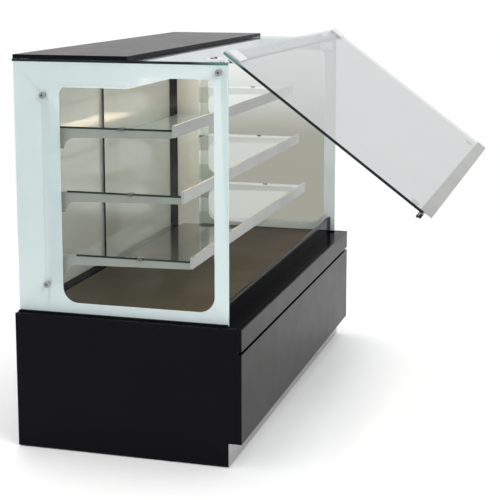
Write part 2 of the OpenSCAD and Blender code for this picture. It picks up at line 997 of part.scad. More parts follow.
module door_screws() {
    color(steel)
        door_swing()
            both_ends()
                for (x = [-screw_x, screw_x]) {
                    rod_y(door_out - 4, door_in + leaf_t, hinge_x + x, door_screw_z, screw_r);
                    rod_y(door_in + leaf_t, door_in + leaf_t + screw_head_h, hinge_x + x, door_screw_z,
                        screw_head_r);
                }
}

module door_buffers() {
    color("white")
        door_swing()
            both_ends() {
                rod_y(door_in, door_in + buffer_t - 2, buffer_x, buffer_z, buffer_r);
                rod_y(door_in + buffer_t - 2, door_in + buffer_t, buffer_x, buffer_z, buffer_r - 2);
            }
}

// Screws of the hinge clamps, the service panel and the control plate
module cabinet_screws() {
    color(steel) {
        both_ends()
            for (x = [-screw_x, screw_x]) {
                rod_z(roof_z - plate_t + 2, roof_top + plate_t, hinge_x + x, clamp_screw_y, screw_r);
                rod_z(roof_top + plate_t, roof_top + plate_t + screw_head_h, hinge_x + x, clamp_screw_y,
                    screw_head_r);
            }
        for (x = [15 - inner_x, 0, inner_x - 15])
            for (z = [kick_h + 15, ledge_z - 15])
                rod_y(plate_y, plate_y + 2.5, x, z, screw_head_r);
        for (x = [plate_x0 + 6, plate_x1 - 6])
            for (z = [control_z - plate_h / 2 + 8, control_z + plate_h / 2 - 8])
                rod_y(control_face, control_face + 2, x, z, 3.5);
    }
}

// ---------- nodes ----------

end_panel(-1);  // end_panel_left
end_panel(1);  // end_panel_right
front_upper_rail();
front_lower_panel();
toe_kick();
ledge_boards();
base_frame();
leveling_feet();
rear_panel();
control_plate();
switch_bodies();
thermostat_body();
temperature_display();
cable_gland();
heater_pan();
heating_elements();
element_supports();
deck_plate();
front_upstand();
glass_channels();
side_glass(-1);  // side_glass_left
side_glass(1);  // side_glass_right
border_print(-1);  // border_print_left
border_print(1);  // border_print_right
glass_fittings();
upright(-1);  // upright_left
upright(1);  // upright_right
roof_glass();
top_board();
canopy_housing();
light_strips();
shelf_glass(0);  // shelf_glass_top
shelf_glass(1);  // shelf_glass_middle
shelf_glass(2);  // shelf_glass_lower
shelf_brackets(0);  // shelf_brackets_top
shelf_brackets(1);  // shelf_brackets_middle
shelf_brackets(2);  // shelf_brackets_lower
shelf_fascia(0);  // shelf_fascia_top
shelf_fascia(1);  // shelf_fascia_middle
shelf_fascia(2);  // shelf_fascia_lower
shelf_clips();
track_bottom();
track_top();
side_channels();
hinge_clamps();
hinge_pins();
cabinet_screws();
door_glass();
door_handle();
door_seal();
hinge_leaves();
door_screws();
door_buffers();
mirror([1, 0, 0]) sliding_glass(slide_outer_y);  // sliding_glass_left
mirror([1, 0, 0]) end_stile(slide_outer_y);  // end_stile_left
sliding_glass(slide_inner_y);  // sliding_glass_right
end_stile(slide_inner_y);  // end_stile_right
thermostat_knob();
power_rocker();
light_rocker();
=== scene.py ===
"""Looks of a heated food display case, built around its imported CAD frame. Metres, +Z up."""

import json
import math

import bmesh
import bpy
from mathutils import Matrix, Vector


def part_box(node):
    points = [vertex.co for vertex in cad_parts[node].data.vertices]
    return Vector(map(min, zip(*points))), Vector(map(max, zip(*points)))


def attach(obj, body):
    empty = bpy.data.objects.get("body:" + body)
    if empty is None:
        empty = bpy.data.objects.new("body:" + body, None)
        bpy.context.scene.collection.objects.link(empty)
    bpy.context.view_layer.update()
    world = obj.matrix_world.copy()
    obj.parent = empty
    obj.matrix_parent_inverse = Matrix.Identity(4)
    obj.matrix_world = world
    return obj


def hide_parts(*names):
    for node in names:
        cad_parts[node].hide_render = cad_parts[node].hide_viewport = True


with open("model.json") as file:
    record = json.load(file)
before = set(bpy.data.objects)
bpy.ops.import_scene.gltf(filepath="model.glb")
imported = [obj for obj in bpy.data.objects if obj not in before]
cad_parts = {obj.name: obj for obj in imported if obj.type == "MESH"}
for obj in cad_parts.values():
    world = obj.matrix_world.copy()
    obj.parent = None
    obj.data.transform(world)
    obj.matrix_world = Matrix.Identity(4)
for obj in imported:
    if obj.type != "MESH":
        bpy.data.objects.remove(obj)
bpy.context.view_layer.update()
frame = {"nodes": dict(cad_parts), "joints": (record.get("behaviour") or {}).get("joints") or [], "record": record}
nodes = frame["nodes"]
slot_of = {entry["node"]: entry["material_slot"] for entry in frame["record"]["subparts"]}
body_of = {n: body for body, names in frame["record"]["behaviour"]["bodies"].items() for n in names}

MM = 0.001


# ---------- camera, light and floor ----------

# Angles in degrees, lens and sensor in millimetres
CAMERA_PLACE = (-4.223, -1.371, 1.446)
CAMERA_YAW = 15.89
CAMERA_PITCH = -8.99
CAMERA_LENS = 93.4
CAMERA_SENSOR = 36
CAMERA_SHIFT = -0.15
STUDIO_WHITE = (1.02, 1.02, 1.02)
# The grey card: its colours at the top and at the foot, the share of its height above which it
# pales, and how far its edges lie inside the far side glass
CARD_HIGH = (0.94, 0.94, 0.93)
CARD_LOW = (0.40, 0.39, 0.335)
CARD_FADE = 0.48
CARD_INSET = 44 * MM
# Between no pane and one pane in front of what a ray meets
BEHIND_GLASS = 0.5
FLOOR_RADIUS = 2.6


def make_camera():
    yaw, pitch = math.radians(CAMERA_YAW), math.radians(CAMERA_PITCH)
    ahead = Vector((math.cos(yaw) * math.cos(pitch), math.sin(yaw) * math.cos(pitch), math.sin(pitch)))
    lens = bpy.data.cameras.new("camera")
    lens.sensor_width = CAMERA_SENSOR
    lens.lens = CAMERA_LENS
    lens.shift_y = CAMERA_SHIFT
    camera = bpy.data.objects.new("camera", lens)
    camera.location = CAMERA_PLACE
    camera.rotation_euler = ahead.to_track_quat("-Z", "Y").to_euler()
    bpy.context.scene.collection.objects.link(camera)
    bpy.context.scene.camera = camera


def make_softbox(name, place, target, width, height, watts):
    """An area light that lights the case but isn't mirrored in its glass"""
    light = bpy.data.lights.new(name, "AREA")
    light.shape = "RECTANGLE"
    light.size = width
    light.size_y = height
    light.energy = watts
    softbox = bpy.data.objects.new(name, light)
    softbox.visible_glossy = False
    softbox.location = place
    softbox.rotation_euler = (Vector(target) - Vector(place)).to_track_quat("-Z", "Y").to_euler()
    bpy.context.scene.collection.objects.link(softbox)


# ---------- material helpers ----------

BUMP_HEIGHT = 0.5 * MM
BRUSH_GRAIN = 9.0
BRUSH_STRETCH = (2, 260, 260)
GLASS_POLISH = 0.015
GLASS_FILM = (0.85, 0.88, 0.88)
# Y and Z over which a glass edge turns to its corner colour, a painted glow for the light that enters at the
# case's front top corner
GLOW_FRONT = (-0.20, -0.29)
GLOW_TOP = (1.172, 1.186)
MIRROR_FILM_SHARE = 0.68
PRINT_GLOW_SHARE = 0.18
LAMP_RIPPLE = 0.15


def new_tree(name):
    material = bpy.data.materials.new(name)
    material.use_nodes = True
    material.node_tree.nodes.clear()
    return material, material.node_tree


def add(tree, kind, inputs=None, **settings):
    """A node whose inputs are given as values or as the sockets that drive them"""
    node = tree.nodes.new("ShaderNode" + kind)
    for name, value in settings.items():
        setattr(node, name, value)
    for name, value in (inputs or {}).items():
        if isinstance(value, bpy.types.NodeSocket):
            tree.links.new(value, node.inputs[name])
        else:
            node.inputs[name].default_value = value
    return node


def output(tree, shader):
    add(tree, "OutputMaterial", {"Surface": shader})


def rgba(colour):
    return (*colour, 1.0)


def noise(tree, scale, detail, stretch=(1, 1, 1)):
    """Noise in the object's own metres, stretched along the axes"""
    place = add(tree, "TexCoord").outputs["Object"]
    mapped = add(tree, "Mapping", {"Vector": place, "Scale": stretch})
    return add(tree, "TexNoise", {"Vector": mapped.outputs[0], "Scale": scale, "Detail": detail}).outputs[0]


def spread(tree, value, low, high, start=0.3, end=0.7):
    """Maps a texture's usual span to low..high"""
    ends = {"Value": value, "From Min": start, "From Max": end, "To Min": low, "To Max": high}
    return add(tree, "MapRange", ends).outputs[0]


def blend_colours(tree, factor, first, second):
    mix = add(tree, "Mix", {0: factor}, data_type="RGBA")
    for index, colour in ((6, first), (7, second)):
        if isinstance(colour, bpy.types.NodeSocket):
            tree.links.new(colour, mix.inputs[index])
        else:
            mix.inputs[index].default_value = rgba(colour)
    return mix.outputs[2]


def band(tree, value, start, end, soft):
    """1 while the value lies between start and end, falling smoothly to 0 over a soft width outside"""
    edges = ((start - soft, start), (end + soft, end))
    sides = [add(tree, "MapRange", {"Value": value, "From Min": zero, "From Max": one},
                 interpolation_type="SMOOTHSTEP").outputs[0] for zero, one in edges]
    return add(tree, "Math", {0: sides[0], 1: sides[1]}, operation="MULTIPLY").outputs[0]


def bump(tree, height, strength):
    return add(tree, "Bump", {"Height": height, "Strength": strength, "Distance": BUMP_HEIGHT}).outputs[0]


def make_world():
    """A white studio. A soft grey card stands far off behind the far side glass, where its window
    shows it to the camera, so that the glass reads against it. It shows through glass only."""
    world = bpy.data.worlds.new("studio")
    world.use_nodes = True
    tree = world.node_tree
    tree.nodes.clear()
    split = add(tree, "SeparateXYZ", {0: add(tree, "TexCoord").outputs["Generated"]})
    bearing = add(tree, "Math", {0: split.outputs["Y"], 1: split.outputs["X"]},
                  operation="ARCTAN2").outputs[0]
    rise = add(tree, "Math", {0: split.outputs["Z"]}, operation="ARCSINE").outputs[0]
    low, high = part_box("side_glass_right")
    ahead = low[0] - CAMERA_PLACE[0]
    side = [math.atan2(y - CAMERA_PLACE[1], ahead) for y in (low[1] + CARD_INSET, high[1])]
    reach = math.hypot(ahead, low[1] - CAMERA_PLACE[1])
    level = [math.atan2(z - CAMERA_PLACE[2], reach) for z in (low[2], high[2] - CARD_INSET)]
    across = band(tree, bearing, side[0], side[1], CARD_INSET / reach)
    upright = band(tree, rise, level[0], level[1], CARD_INSET / reach)
    patch = add(tree, "Math", {0: across, 1: upright}, operation="MULTIPLY").outputs[0]
    panes = add(tree, "LightPath").outputs["Transparent Depth"]
    behind = add(tree, "Math", {0: panes, 1: BEHIND_GLASS}, operation="GREATER_THAN").outputs[0]
    share = add(tree, "Math", {0: patch, 1: behind}, operation="MULTIPLY").outputs[0]
    fade = add(tree, "MapRange", {"Value": rise, "From Min": level[0] + CARD_FADE * (level[1] - level[0]),
                                  "From Max": level[1]}, interpolation_type="SMOOTHSTEP").outputs[0]
    card = blend_colours(tree, fade, CARD_LOW, CARD_HIGH)
    colour = blend_colours(tree, share, STUDIO_WHITE, card)
    background = add(tree, "Background", {"Color": colour, "Strength": 1.0})
    add(tree, "OutputWorld", {"Surface": background.outputs[0]})
    bpy.context.scene.world = world


def opaque(name, dark, light, rough, grain, relief, patch=5.0, stretch=(1, 1, 1), **constants):
    """A solid finish: colour drifts from dark to light in patches, roughness varies with
    handling marks, and a fine grain stands in relief. Constants go on the shader's own sockets."""
    material, tree = new_tree(name)
    fine = noise(tree, grain, 2.0, stretch)
    clouds = noise(tree, patch, 4.0)
    colour = blend_colours(tree, spread(tree, clouds, 0.0, 1.0), dark, light)
    marks = noise(tree, patch * 2.3, 5.0)
    shader = add(tree, "BsdfPrincipled", {
        "Base Color": blend_colours(tree, spread(tree, fine, 0.0, 0.35), colour, dark),
        "Roughness": spread(tree, marks, *rough),
        "Normal": bump(tree, fine, relief),
    })
    for socket, value in constants.items():
        shader.inputs[socket.replace("_", " ")].default_value = value
    output(tree, shader.outputs[0])
    return material


def brushed(name, dark, light, rough, relief=0.12, **constants):
    """Metal with fine brush lines along X, and broad soft patches"""
    return opaque(name, dark, light, rough, BRUSH_GRAIN, relief, patch=3.0, stretch=BRUSH_STRETCH,
                  Metallic=1.0, **constants)


def outer_mirror(tree, ior):
    """Mirror share of a thin plate: all of it on the side that faces out, none on the way out"""
    share = add(tree, "Fresnel", {"IOR": ior})
    inside = add(tree, "NewGeometry").outputs["Backfacing"]
    outside = add(tree, "Math", {0: 1.0, 1: inside}, operation="SUBTRACT")
    return add(tree, "Math", {0: share.outputs[0], 1: outside.outputs[0]}, operation="MULTIPLY").outputs[0]


def clear_glass(name, tint, mirror_ior=1.65, haze=(0.0, 0.02), mirror_colour=(1, 1, 1)):
    """Thin clear glass: tinted light passes straight, a mirror share grows at grazing angles,
    and a trace of wiped haze lies on it"""
    material, tree = new_tree(name)
    through = add(tree, "BsdfTransparent", {"Color": rgba(tint)})
    mirror = add(tree, "BsdfGlossy", {"Color": rgba(mirror_colour), "Roughness": GLASS_POLISH})
    glass = add(tree, "MixShader", {0: outer_mirror(tree, mirror_ior), 1: through.outputs[0],
                                    2: mirror.outputs[0]})
    film = add(tree, "BsdfDiffuse", {"Color": rgba(GLASS_FILM)})
    wiped = spread(tree, noise(tree, 3.0, 5.0, (1, 2, 3)), *haze, 0.4, 0.8)
    hazy = add(tree, "MixShader", {0: wiped, 1: glass.outputs[0], 2: film.outputs[0]})
    output(tree, hazy.outputs[0])
    return material


def ground_edge(name, dark, light, corner=None):
    """The polished edge of a glass plate, with paler streaks along it, clear from within the plate.
    At the case's front top corner the edge takes the corner colour, a painted glow for the light
    that enters there."""
    material, tree = new_tree(name)
    streaks = noise(tree, 14.0, 4.0)
    fine = noise(tree, 1400.0, 2.0)
    colour = blend_colours(tree, spread(tree, streaks, 0.0, 1.0, 0.35, 0.7), dark, light)
    # Painted glow: near the front top corner the edge colour turns to the brighter corner colour
    if corner:
        place = add(tree, "SeparateXYZ", {0: add(tree, "TexCoord").outputs["Object"]})
        front = spread(tree, place.outputs["Y"], 0.0, 1.0, *GLOW_FRONT)
        top = spread(tree, place.outputs["Z"], 0.0, 1.0, *GLOW_TOP)
        share = add(tree, "Math", {0: front, 1: top}, operation="MULTIPLY").outputs[0]
        colour = blend_colours(tree, share, colour, corner)
    shader = add(tree, "BsdfPrincipled", {
        "Base Color": colour,
        "Roughness": spread(tree, fine, 0.16, 0.28),
        "Normal": bump(tree, fine, 0.05),
        "Specular IOR Level": 0.2,
    })
    clear = add(tree, "BsdfTransparent")
    within = add(tree, "NewGeometry").outputs["Backfacing"]
    mixed = add(tree, "MixShader", {0: within, 1: shader.outputs[0], 2: clear.outputs[0]})
    output(tree, mixed.outputs[0])
    return material


def mirror_pane(name):
    """Sun-reflecting glass of the rear doors: a grey metallic film mirrors softly and dims the view"""
    material, tree = new_tree(name)
    through = add(tree, "BsdfTransparent", {"Color": (0.62, 0.63, 0.60, 1)})
    cloud = noise(tree, 2.2, 4.0, (1, 1, 1.6))
    film = add(tree, "BsdfPrincipled", {
        "Base Color": blend_colours(tree, spread(tree, cloud, 0.0, 1.0), (0.45, 0.485, 0.48),
                                    (0.55, 0.585, 0.58)),
        "Roughness": spread(tree, noise(tree, 6.0, 4.0), 0.10, 0.16),
        "Metallic": 0.2,
        "IOR": 1.5,
    })
    mixed = add(tree, "MixShader", {0: MIRROR_FILM_SHARE, 1: through.outputs[0], 2: film.outputs[0]})
    output(tree, mixed.outputs[0])
    return material


def border_print(name):
    """Pale ceramic print seen through glass: smooth, faintly mottled, letting a little light through"""
    material, tree = new_tree(name)
    mottle = noise(tree, 2.5, 4.0)
    colour = blend_colours(tree, spread(tree, mottle, 0.0, 1.0), (0.66, 0.735, 0.755), (0.74, 0.80, 0.825))
    grain = noise(tree, 2600.0, 1.0)
    shader = add(tree, "BsdfPrincipled", {
        "Base Color": colour,
        "Roughness": spread(tree, grain, 0.30, 0.42),
        "Normal": bump(tree, grain, 0.03),
    })
    lit = add(tree, "BsdfTranslucent", {"Color": colour})
    mixed = add(tree, "MixShader", {0: PRINT_GLOW_SHARE, 1: shader.outputs[0], 2: lit.outputs[0]})
    output(tree, mixed.outputs[0])
    return material


def diffuser(name, colour, strength, pitch):
    """Opal diffuser over a row of lamps: slightly brighter over each lamp"""
    material, tree = new_tree(name)
    place = add(tree, "TexCoord").outputs["Object"]
    along = add(tree, "SeparateXYZ", {0: place}).outputs["X"]
    phase = add(tree, "Math", {0: along, 1: 2 * math.pi / pitch}, operation="MULTIPLY")
    wave = add(tree, "Math", {0: phase.outputs[0]}, operation="COSINE")
    glow = add(tree, "MapRange", {"Value": wave.outputs[0], "From Min": -1.0, "From Max": 1.0,
                                  "To Min": (1 - LAMP_RIPPLE) * strength,
                                  "To Max": (1 + LAMP_RIPPLE) * strength})
    grain = noise(tree, 1800.0, 1.0)
    shader = add(tree, "BsdfPrincipled", {
        "Base Color": rgba(colour),
        "Roughness": spread(tree, grain, 0.35, 0.5),
        "Normal": bump(tree, grain, 0.04),
        "Emission Color": rgba(colour),
        "Emission Strength": glow.outputs[0],
    })
    output(tree, shader.outputs[0])
    return material


# ---------- materials, one for each slot of the record ----------

def make_materials():
    return {
        "black_laminate": opaque("black_laminate", (0.0026, 0.0024, 0.0034), (0.0036, 0.0033, 0.0048),
                                 (0.36, 0.42), 1500.0, 0.08, Specular_IOR_Level=0.06),
        "front_laminate": opaque("front_laminate", (0.010, 0.0092, 0.0092), (0.0135, 0.0125, 0.0125),
                                 (0.30, 0.34), 1500.0, 0.06, Specular_IOR_Level=0.085),
        "gloss_black": opaque("gloss_black", (0.0022, 0.002, 0.0026), (0.0035, 0.0032, 0.004), (0.05, 0.12),
                              60.0, 0.015, Specular_IOR_Level=0.025),
        "top_black": opaque("top_black", (0.005, 0.0047, 0.0055), (0.0075, 0.007, 0.008), (0.34, 0.38),
                            1200.0, 0.08, Specular_IOR_Level=0.18),
        "brushed_steel": brushed("brushed_steel", (0.36, 0.36, 0.37), (0.50, 0.50, 0.50), (0.26, 0.36)),
        "frame_steel": opaque("frame_steel", (0.22, 0.22, 0.23), (0.34, 0.34, 0.35), (0.38, 0.55),
                              700.0, 0.15, Metallic=1.0),
        "pan_steel": brushed("pan_steel", (0.38, 0.37, 0.35), (0.50, 0.49, 0.47), (0.34, 0.48)),
        "deck_steel": brushed("deck_steel", (0.155, 0.138, 0.122), (0.205, 0.184, 0.163), (0.36, 0.46),
                              Specular_Tint=(0.33, 0.32, 0.30, 1)),
        "black_sheet": opaque("black_sheet", (0.012, 0.012, 0.013), (0.020, 0.020, 0.021), (0.42, 0.52),
                              1100.0, 0.35, Specular_IOR_Level=0.4),
        "grey_coat": opaque("grey_coat", (0.75, 0.78, 0.80), (0.83, 0.86, 0.88), (0.36, 0.46),
                            1100.0, 0.22, Specular_IOR_Level=0.3),
        "bracket_coat": opaque("bracket_coat", (0.235, 0.245, 0.22), (0.285, 0.295, 0.27), (0.34, 0.44),
                               1100.0, 0.22, Specular_IOR_Level=0.35),
        "satin_aluminium": brushed("satin_aluminium", (0.36, 0.36, 0.355), (0.44, 0.44, 0.43), (0.30, 0.40),
                                   0.06),
        "black_anodised": opaque("black_anodised", (0.003, 0.0035, 0.0035), (0.006, 0.007, 0.007),
                                 (0.42, 0.52), 900.0, 0.10, Specular_IOR_Level=0.04),
        "chrome": opaque("chrome", (0.70, 0.71, 0.73), (0.82, 0.83, 0.85), (0.05, 0.13), 40.0, 0.01,
                         Metallic=1.0),
        "screw_steel": opaque("screw_steel", (0.26, 0.26, 0.27), (0.36, 0.36, 0.37), (0.22, 0.34),
                              900.0, 0.08, Metallic=1.0),
        "side_glass": clear_glass("side_glass", (0.965, 0.98, 0.972), 1.18, (0.0, 0.01)),
        "roof_glass": clear_glass("roof_glass", (0.90, 0.925, 0.92), mirror_colour=(0.70, 0.72, 0.74)),
        "door_glass": clear_glass("door_glass", (0.64, 0.652, 0.65), 2.0, (0.12, 0.14), (0.78, 0.79, 0.79)),
        "shelf_glass": clear_glass("shelf_glass", (0.95, 0.975, 0.962), 1.5),
        "grey_glass": mirror_pane("grey_glass"),
        "border_print": border_print("border_print"),
        "black_plastic": opaque("black_plastic", (0.012, 0.012, 0.013), (0.022, 0.022, 0.024),
                                (0.42, 0.55), 1300.0, 0.3),
        "display_black": opaque("display_black", (0.004, 0.004, 0.004), (0.008, 0.006, 0.006),
                                (0.08, 0.14), 80.0, 0.01),
        "warm_diffuser": diffuser("warm_diffuser", (1.0, 0.80, 0.60), 7.2, 12 * MM),
        "seal_rubber": opaque("seal_rubber", (0.010, 0.010, 0.011), (0.020, 0.020, 0.021), (0.55, 0.75),
                              1500.0, 0.35),
        "clear_buffer": clear_glass("clear_buffer", (0.46, 0.51, 0.51), 1.45, (0.06, 0.14)),
        "knob_black": opaque("knob_black", (0.012, 0.012, 0.012), (0.020, 0.020, 0.020), (0.36, 0.48),
                             1100.0, 0.3),
        "rocker_red": opaque("rocker_red", (0.38, 0.012, 0.008), (0.48, 0.02, 0.012), (0.20, 0.30),
                             900.0, 0.12),
        "rocker_white": opaque("rocker_white", (0.66, 0.65, 0.61), (0.74, 0.73, 0.69), (0.20, 0.30),
                               900.0, 0.12),
    }


materials = make_materials()


# ---------- finishes of parts of a piece ----------

# Dark glass edges, with a painted teal glow at the case's front top corner
edge_green = ground_edge("glass_edge_dark", (0.002, 0.006, 0.006), (0.006, 0.020, 0.019), (0.09, 0.20, 0.18))
edge_pale = ground_edge("glass_edge_pale", (0.42, 0.58, 0.58), (0.56, 0.70, 0.70))
# Painted shade: the floor and walls of each hex socket are near-black, where shade falls
painted_socket_shade = opaque("painted_socket_shade", (0.04, 0.04, 0.042), (0.06, 0.06, 0.062), (0.45, 0.6), 900.0, 0.2)
cap_grey = opaque("cap_grey", (0.22, 0.225, 0.23), (0.28, 0.285, 0.29), (0.42, 0.52), 900.0, 0.08,
                  Specular_IOR_Level=0.3)
mark_black = opaque("mark_black", (0.012, 0.012, 0.012), (0.02, 0.02, 0.02), (0.45, 0.55), 1200.0, 0.05)
mark_white = opaque("mark_white", (0.62, 0.62, 0.60), (0.70, 0.70, 0.68), (0.45, 0.55), 1200.0, 0.05)
digit_glow = diffuser("digit_glow", (1.0, 0.10, 0.03), 2.5, 1 * MM)


# ---------- mesh helpers ----------

WELD = 0.01 * MM
FLAT_ANGLE = 0.5
SHARP_ANGLE = 30
ARRIS = 0.8 * MM


def make_piece(name, mesh, finishes, body, smooth_angle=35):
    """An object from a bmesh, with its finishes, on its body"""
    data = bpy.data.meshes.new(name)
    mesh.to_mesh(data)
    mesh.free()
    for finish in finishes:
        data.materials.append(finish)
    for face in data.polygons:
        face.use_smooth = True
    data.set_sharp_from_angle(angle=math.radians(smooth_angle))
    piece = bpy.data.objects.new(name, data)
    bpy.context.scene.collection.objects.link(piece)
    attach(piece, body)
    return piece


def welded(node):
    """The CAD node's mesh, with its triangles joined at their corners"""
    mesh = bmesh.new()
    mesh.from_mesh(nodes[node].data)
    bmesh.ops.remove_doubles(mesh, verts=mesh.verts, dist=WELD)
    return mesh


def cad_bmesh(node):
    """The CAD node's mesh as whole flat faces, without the seams between its triangles"""
    mesh = welded(node)
    bmesh.ops.dissolve_limit(mesh, angle_limit=math.radians(FLAT_ANGLE), verts=mesh.verts, edges=mesh.edges)
    mesh.normal_update()
    return mesh


def bevel_sharp_edges(mesh, width, steps):
    limit = math.radians(SHARP_ANGLE)
    sharp = [e for e in mesh.edges if len(e.link_faces) == 2 and e.calc_face_angle() > limit]
    bmesh.ops.bevel(mesh, geom=sharp, offset=width, offset_type="OFFSET", segments=steps, profile=0.5,
                    affect="EDGES", clamp_overlap=True)


def broad_normal(mesh):
    """The normal of the largest face"""
    return max(mesh.faces, key=lambda face: face.calc_area()).normal.copy()


def eased(node, width, steps=2):
    """Stands for a CAD node, the same shape with its edges rounded off"""
    mesh = cad_bmesh(node)
    bevel_sharp_edges(mesh, width, steps)
    slot = slot_of[node]
    piece = make_piece(node + ".eased", mesh, [materials[slot]], body_of[node])
    weighted = piece.modifiers.new("weighted", "WEIGHTED_NORMAL")
    weighted.keep_sharp = True
    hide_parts(node)


def paint(node, finish, where):
    """Gives the finish to the faces of an eased node that pass the test"""
    data = bpy.data.objects[node + ".eased"].data
    data.materials.append(finish)
    for face in data.polygons:
        if where(face):
            face.material_index = len(data.materials) - 1


def pane(node, edge):
    """Stands for a glass plate: clear broad faces, and ground edges with a fine arris"""
    mesh = cad_bmesh(node)
    across = broad_normal(mesh)
    bevel_sharp_edges(mesh, ARRIS, 1)
    mesh.normal_update()
    for face in mesh.faces:
        face.material_index = 0 if abs(face.normal.dot(across)) > 0.9 else 1
    slot = slot_of[node]
    piece = make_piece(node + ".pane", mesh, [materials[slot], edge], body_of[node], 20)
    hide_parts(node)


def lofted(mesh, rings, inner=None):
    """Adds a solid skinned over rings of points. The skin from ring number inner on is finish 1."""
    rings = [[mesh.verts.new(point) for point in ring] for ring in rings]
    count = len(rings[0])
    for index, (lower, upper) in enumerate(zip(rings, rings[1:])):
        for i in range(count):
            j = (i + 1) % count
            face = mesh.faces.new((lower[i], lower[j], upper[j], upper[i]))
            face.material_index = 1 if inner is not None and index >= inner else 0
    mesh.faces.new(list(reversed(rings[0])))
    mesh.faces.new(rings[-1]).material_index = 0 if inner is None else 1


def turned(mesh, profile, place, axis, inner=None, segments=48):
    """Adds a turned shape: profile holds (radius, height along the axis, sides), where 0 sides is
    round and 6 is a hexagon of that inner radius"""
    turn = Vector(axis).to_track_quat("Z", "Y").to_matrix()
    rings = []
    for radius, height, sides in profile:
        ring = []
        for i in range(segments):
            angle = 2 * math.pi * i / segments
            reach = radius
            if sides:
                step = 2 * math.pi / sides
                reach = radius / math.cos((angle % step) - step / 2)
            point = Vector((reach * math.cos(angle), reach * math.sin(angle), height)) * MM
            ring.append(Vector(place) + turn @ point)
        rings.append(ring)
    lofted(mesh, rings, inner)


def extruded(mesh, outline, x0, x1):
    """Adds a solid whose outline in Y and Z runs along X from x0 to x1"""
    lofted(mesh, [[Vector((x, y, z)) for y, z in outline] for x in (x0, x1)])


def islands(node):
    """The points of each separate solid in a CAD node"""
    mesh = welded(node)
    seen, found = set(), []
    for start in mesh.verts:
        if start in seen:
            continue
        seen.add(start)
        queue, group = [start], []
        while queue:
            vertex = queue.pop()
            group.append(vertex.co.copy())
            for edge in vertex.link_edges:
                other = edge.other_vert(vertex)
                if other not in seen:
                    seen.add(other)
                    queue.append(other)
        found.append(group)
    mesh.free()
    return found


def tip(points, axis):
    """The middle of the face that lies furthest along the axis"""
    axis = Vector(axis)
    far = max(point.dot(axis) for point in points)
    face = [point for point in points if point.dot(axis) > far - 0.1 * MM]
    return sum(face, Vector()) / len(face)


# ---------- studio ----------

make_camera()
make_world()
make_softbox("key", place=(-2.6, -3.2, 3.6), target=(0, 0, 0.7), width=2.6, height=1.8, watts=90)
make_softbox("top", place=(0.6, 0.2, 3.8), target=(0, 0, 1), width=3.0, height=2.0, watts=50)


# ---------- CAD nodes ----------

def dress_nodes():
    """Gives each CAD node its slot's finish, also those that a piece stands for later"""
    for name in nodes:
        for socket in nodes[name].material_slots:
            socket.material = materials[slot_of[name]]


dress_nodes()

BOARDS = ("end_panel_left", "end_panel_right", "front_upper_rail", "front_lower_panel", "ledge_boards",
          "front_upstand", "top_board")
SHEETS = ("toe_kick", "deck_plate", "canopy_housing", "shelf_brackets_top", "shelf_brackets_middle",
          "shelf_brackets_lower", "shelf_fascia_top", "shelf_fascia_middle", "shelf_fascia_lower",
          "control_plate", "glass_channels", "side_channels", "track_bottom", "track_top", "door_handle",
          "shelf_clips", "end_stile_left", "end_stile_right", "upright_left", "upright_right",
          "rear_panel", "leveling_feet", "temperature_display", "switch_bodies", "cable_gland",
          "glass_fittings", "thermostat_knob")
PANES = ("roof_glass", "door_glass", "shelf_glass_top", "shelf_glass_middle", "shelf_glass_lower",
         "sliding_glass_left", "sliding_glass_right")

for board in BOARDS:
    eased(board, 0.9 * MM)
paint("top_board", materials["black_laminate"], lambda face: face.normal.z < 0.5)
for board in ("front_upper_rail", "front_lower_panel"):
    paint(board, materials["gloss_black"], lambda face: face.normal.z > 0.9)
    paint(board, materials["black_laminate"], lambda face: abs(face.normal.x) > 0.9)
for part in SHEETS:
    eased(part, 0.35 * MM, 1)
for plate in PANES:
    pane(plate, edge_green)
for plate in ("side_glass_left", "side_glass_right"):
    pane(plate, edge_pale)
for part in ("hinge_clamps", "hinge_leaves", "power_rocker", "light_rocker"):
    eased(part, 0.5 * MM)


# ---------- fixings and screws ----------

BOTH_WAYS = ((-1, 0, 0), (1, 0, 0))
SOCKET_RING = 3
PIN_END = [(2.9, -0.2, 0), (2.9, 0.2, 0), (2.5, 0.7, 0), (1.6, 1.0, 0)]
PLUG_INSET = 1.4 * MM
PLUG_CORNER = 1.5 * MM
PLUG_DEPTH = 2 * MM


def socket_disc(radius, height, socket, skirt=0.2):
    """Profile of a flat chamfered cap with a hexagon socket, whose floor and walls start at
    SOCKET_RING and are painted near-black as shade. The skirt reaches back over what it caps."""
    return [(radius, -skirt, 0), (radius, height * 0.5, 0), (radius - 0.5, height, 0), (socket, height, 6),
            (socket, 0.05, 6)]


def make_fixing_caps():
    """A cap on each fitting that stands out of a side glass"""
    mesh = bmesh.new()
    cap = socket_disc(radius=9.9, height=0.9, socket=3.6, skirt=0.9)
    for points in islands("glass_fittings"):
        for axis in BOTH_WAYS:
            if tip(points, axis).dot(Vector(axis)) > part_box("side_glass_right")[1][0]:
                turned(mesh, cap, tip(points, axis), axis, SOCKET_RING)
    # The sockets of the caps are painted near-black as shade
    make_piece("fixing_caps", mesh, [cap_grey, painted_socket_shade], "cabinet")


def door_inward():
    """The direction from the front glass into the case, square to the glass as it stands"""
    mesh = cad_bmesh("door_glass")
    across = broad_normal(mesh)
    mesh.free()
    return across if across.y > 0 else -across


